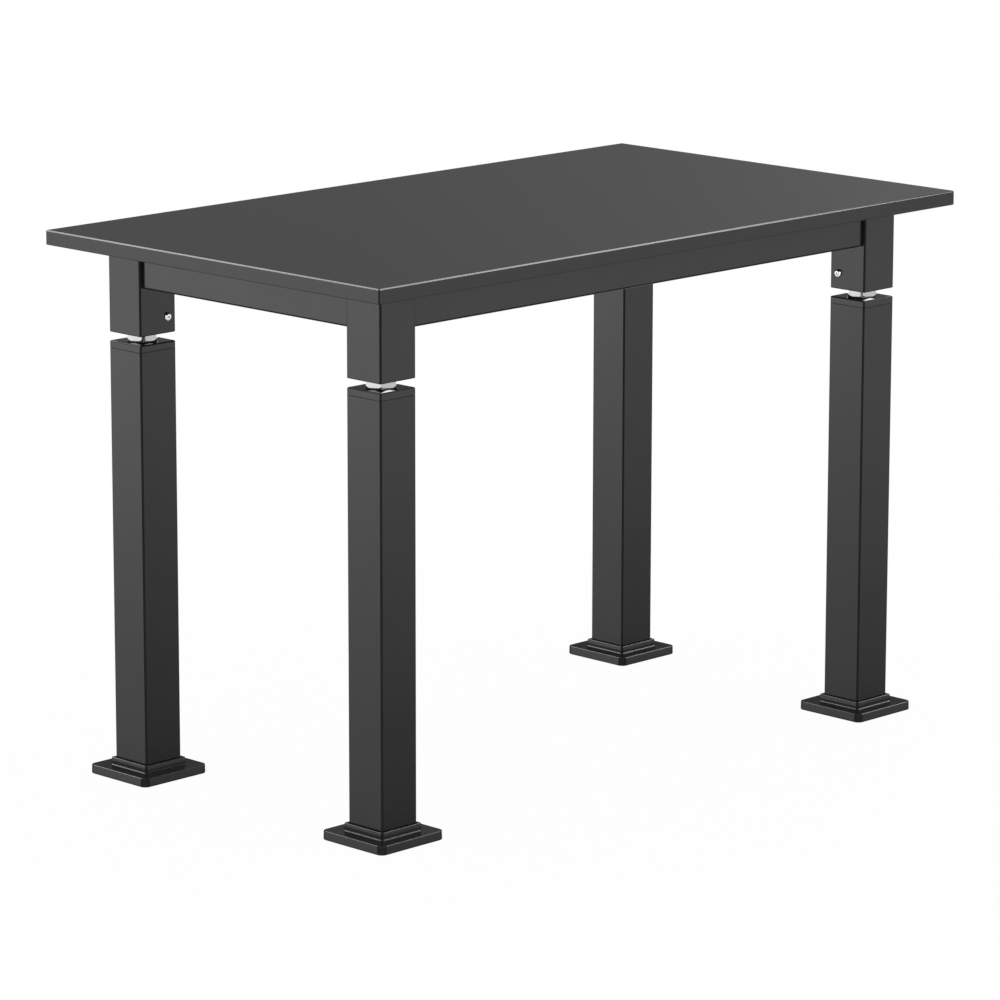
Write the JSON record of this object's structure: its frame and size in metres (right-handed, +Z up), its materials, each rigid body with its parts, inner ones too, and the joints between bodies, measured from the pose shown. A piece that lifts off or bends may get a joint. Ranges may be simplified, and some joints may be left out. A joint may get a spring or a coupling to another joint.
{
  "type": "height-adjustable laboratory table",
  "caption": "Rectangular laboratory table with a black worktop on a steel frame, whose square legs are raised and lowered by turning hex nuts on hidden screw spindles.",
  "frame": {"origin": "on the floor under the middle of the worktop, at the lowest setting", "axes": "+X along the long side, +Y from the front long side to the rear, +Z up"},
  "size_m": [1.0668, 0.6096, 0.7147],
  "materials": {
    "worktop_resin": "satin black phenolic resin",
    "frame_paint": "satin black powder coat on steel tube",
    "moulded_black": "moulded black nylon",
    "bright_plating": "bright nickel-chrome plated steel",
    "spindle_steel": "bright rolled thread",
    "plug_alloy": "as cast",
    "guide_nylon": "natural nylon"
  },
  "bodies": {
    "frame": {"worktop": "worktop_resin", "front_rail": "frame_paint", "rear_rail": "frame_paint", "left_rail": "frame_paint", "right_rail": "frame_paint", "top_bracket_front_left": "frame_paint", "top_screw_front_left": "bright_plating", "upper_leg_front_left": "frame_paint", "spindle_plug_front_left": "plug_alloy", "plug_screw_side_front_left": "bright_plating", "plug_screw_end_front_left": "bright_plating", "spindle_front_left": "spindle_steel", "spindle_guide_front_left": "guide_nylon", "top_bracket_front_right": "frame_paint", "top_screw_front_right": "bright_plating", "upper_leg_front_right": "frame_paint", "spindle_plug_front_right": "plug_alloy", "plug_screw_side_front_right": "bright_plating", "plug_screw_end_front_right": "bright_plating", "spindle_front_right": "spindle_steel", "spindle_guide_front_right": "guide_nylon", "top_bracket_rear_left": "frame_paint", "top_screw_rear_left": "bright_plating", "upper_leg_rear_left": "frame_paint", "spindle_plug_rear_left": "plug_alloy", "plug_screw_side_rear_left": "bright_plating", "plug_screw_end_rear_left": "bright_plating", "spindle_rear_left": "spindle_steel", "spindle_guide_rear_left": "guide_nylon", "top_bracket_rear_right": "frame_paint", "top_screw_rear_right": "bright_plating", "upper_leg_rear_right": "frame_paint", "spindle_plug_rear_right": "plug_alloy", "plug_screw_side_rear_right": "bright_plating", "plug_screw_end_rear_right": "bright_plating", "spindle_rear_right": "spindle_steel", "spindle_guide_rear_right": "guide_nylon"},
    "front_left_leg": {"lower_leg_front_left": "frame_paint", "leg_cap_front_left": "moulded_black", "foot_front_left": "moulded_black"},
    "front_left_nut": {"height_nut_front_left": "bright_plating"},
    "front_right_leg": {"lower_leg_front_right": "frame_paint", "leg_cap_front_right": "moulded_black", "foot_front_right": "moulded_black"},
    "front_right_nut": {"height_nut_front_right": "bright_plating"},
    "rear_left_leg": {"lower_leg_rear_left": "frame_paint", "leg_cap_rear_left": "moulded_black", "foot_rear_left": "moulded_black"},
    "rear_left_nut": {"height_nut_rear_left": "bright_plating"},
    "rear_right_leg": {"lower_leg_rear_right": "frame_paint", "leg_cap_rear_right": "moulded_black", "foot_rear_right": "moulded_black"},
    "rear_right_nut": {"height_nut_rear_right": "bright_plating"}
  },
  "joints": [
    {"name": "front_left_leg_slide", "type": "slide", "parent": "frame", "child": "front_left_leg", "axis": [0, 0, -1], "range_m": [0, 0.2032]},
    {"name": "front_left_nut_turn", "type": "hinge", "parent": "front_left_leg", "child": "front_left_nut", "pos_m": [-0.4476, -0.219, 0.5796], "axis": [0, 0, -1], "range_deg": [0, 14400]},
    {"name": "front_right_leg_slide", "type": "slide", "parent": "frame", "child": "front_right_leg", "axis": [0, 0, -1], "range_m": [0, 0.2032]},
    {"name": "front_right_nut_turn", "type": "hinge", "parent": "front_right_leg", "child": "front_right_nut", "pos_m": [0.4476, -0.219, 0.5796], "axis": [0, 0, -1], "range_deg": [0, 14400]},
    {"name": "rear_left_leg_slide", "type": "slide", "parent": "frame", "child": "rear_left_leg", "axis": [0, 0, -1], "range_m": [0, 0.2032]},
    {"name": "rear_left_nut_turn", "type": "hinge", "parent": "rear_left_leg", "child": "rear_left_nut", "pos_m": [-0.4476, 0.219, 0.5796], "axis": [0, 0, -1], "range_deg": [0, 14400]},
    {"name": "rear_right_leg_slide", "type": "slide", "parent": "frame", "child": "rear_right_leg", "axis": [0, 0, -1], "range_m": [0, 0.2032]},
    {"name": "rear_right_nut_turn", "type": "hinge", "parent": "rear_right_leg", "child": "rear_right_nut", "pos_m": [0.4476, 0.219, 0.5796], "axis": [0, 0, -1], "range_deg": [0, 14400]}
  ],
  "couplings": [
    {"joint": "front_left_nut_turn", "follows": "front_left_leg_slide", "rad_per_m": 1236.8},
    {"joint": "front_right_nut_turn", "follows": "front_right_leg_slide", "rad_per_m": 1236.8},
    {"joint": "rear_left_nut_turn", "follows": "rear_left_leg_slide", "rad_per_m": 1236.8},
    {"joint": "rear_right_nut_turn", "follows": "rear_right_leg_slide", "rad_per_m": 1236.8}
  ]
}
